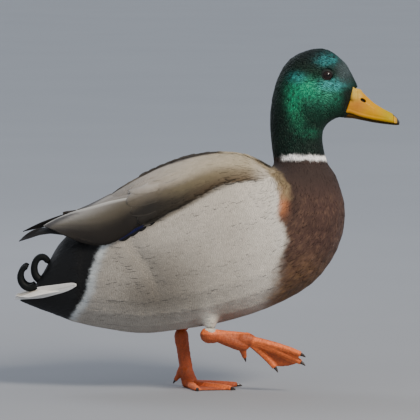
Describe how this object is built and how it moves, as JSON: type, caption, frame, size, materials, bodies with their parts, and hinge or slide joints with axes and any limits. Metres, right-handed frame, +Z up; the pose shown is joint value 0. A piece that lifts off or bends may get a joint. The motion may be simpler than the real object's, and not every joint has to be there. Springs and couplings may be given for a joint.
{
  "type": "mallard drake model",
  "caption": "Life-size still model of a walking mallard drake with one foot lifted, folded wings, curled tail coverts and a broad flat bill.",
  "frame": {"origin": "on the floor under the middle of the model's box", "axes": "+X forwards from the tail to the bill, +Y to the bird's left, +Z up"},
  "size_m": [0.4044, 0.1244, 0.3592],
  "materials": {
    "head_feathers": "glossy iridescent green feathers",
    "breast_feathers": "soft chestnut-brown feathers",
    "body_feathers": "soft pale grey feathers with fine dark waves",
    "rump_feathers": "glossy black feathers",
    "wing_feathers": "smooth grey-brown feathers",
    "speculum_feathers": "glossy blue-violet feathers",
    "tail_feathers": "stiff white and pale brown feathers",
    "bill_horn": "smooth satin yellow horn skin",
    "nail_horn": "hard satin black horn",
    "eye": "wet glossy dark brown",
    "leg_skin": "scaly satin orange skin",
    "claw_horn": "satin dark horn"
  },
  "bodies": {
    "root": {"bill_lower": "bill_horn", "bill_nail": "nail_horn", "bill_upper": "bill_horn", "breast": "breast_feathers", "claw_left_hind": "claw_horn", "claw_left_inner": "claw_horn", "claw_left_middle": "claw_horn", "claw_left_outer": "claw_horn", "claw_right_hind": "claw_horn", "claw_right_inner": "claw_horn", "claw_right_middle": "claw_horn", "claw_right_outer": "claw_horn", "curl_left_lower": "rump_feathers", "curl_left_upper": "rump_feathers", "curl_right_lower": "rump_feathers", "curl_right_upper": "rump_feathers", "eye_left": "eye", "eye_right": "eye", "foot_left": "leg_skin", "foot_right": "leg_skin", "head": "head_feathers", "hind_toe_left": "leg_skin", "hind_toe_right": "leg_skin", "hindquarters": "body_feathers", "neck": "head_feathers", "shank_left": "body_feathers", "shank_right": "body_feathers", "tail_coverts": "rump_feathers", "tail_left": "tail_feathers", "tail_right": "tail_feathers", "tarsus_left": "leg_skin", "tarsus_right": "leg_skin", "trunk": "body_feathers", "wing_left_coverts": "wing_feathers", "wing_left_greater_coverts": "wing_feathers", "wing_left_primaries": "wing_feathers", "wing_left_scapulars": "wing_feathers", "wing_left_secondaries": "speculum_feathers", "wing_left_tertials": "wing_feathers", "wing_right_coverts": "wing_feathers", "wing_right_greater_coverts": "wing_feathers", "wing_right_primaries": "wing_feathers", "wing_right_scapulars": "wing_feathers", "wing_right_secondaries": "speculum_feathers", "wing_right_tertials": "wing_feathers"}
  },
  "joints": []
}
